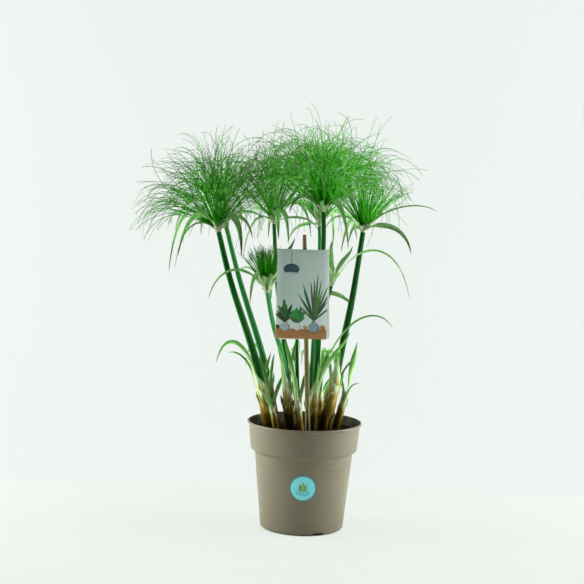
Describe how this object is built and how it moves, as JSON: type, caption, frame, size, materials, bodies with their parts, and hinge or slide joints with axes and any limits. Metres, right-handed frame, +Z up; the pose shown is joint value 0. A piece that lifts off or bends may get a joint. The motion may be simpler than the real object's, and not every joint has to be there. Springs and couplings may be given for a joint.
{
  "type": "potted papyrus plant",
  "caption": "Papyrus in a stepped taupe nursery pot: bare green stems with heads of fine arching rays over strap bracts, leafy sheaths at the soil, a care card on a stick and a round sticker.",
  "frame": {"origin": "centre of the underside of the pot, on the surface that the pot stands on", "axes": "+Z up; -Y towards the front, where the sticker and the card face; +X to the right seen from the front"},
  "size_m": [0.4934, 0.3485, 0.6863],
  "materials": {
    "pot": "satin moulded taupe plastic",
    "soil": "rough dark potting mix of peat and bark",
    "stem": "smooth dark green plant stem with a waxy sheen",
    "sheath": "dry olive and brown leaf sheath, pale green higher up",
    "leaf": "thin matt green leaf, slightly see-through against light",
    "ray": "fine bright green rays and threads",
    "card": "printed card with a smooth coating",
    "back_card": "plain pale card",
    "stick": "split bamboo with a dark groove",
    "sticker": "printed turquoise label with a slight gloss"
  },
  "bodies": {
    "root": {"pot": "pot", "soil": "soil", "sticker": "sticker", "stick": "stick", "card_front": "card", "card_back": "back_card", "stem_left_front": "stem", "sheath_left_front": "sheath", "bracts_left_front": "leaf", "head_left_front": "ray", "stem_left_back": "stem", "sheath_left_back": "sheath", "bracts_left_back": "leaf", "head_left_back": "ray", "stem_middle": "stem", "sheath_middle": "sheath", "bracts_middle": "leaf", "head_middle": "ray", "stem_right_back": "stem", "sheath_right_back": "sheath", "bracts_right_back": "leaf", "head_right_back": "ray", "stem_right_front": "stem", "sheath_right_front": "sheath", "bracts_right_front": "leaf", "head_right_front": "ray", "stem_far_right": "stem", "sheath_far_right": "sheath", "bracts_far_right": "leaf", "head_far_right": "ray", "stem_short": "stem", "sheath_short": "sheath", "bracts_short": "leaf", "head_short": "ray", "stem_leafy": "stem", "sheath_leafy": "sheath", "bracts_leafy": "leaf", "stem_spear": "stem", "sheath_spear": "sheath", "bracts_spear": "leaf", "sprout_left": "leaf", "sprout_centre": "leaf", "sprout_right": "leaf", "sprout_back": "leaf"}
  },
  "joints": []
}
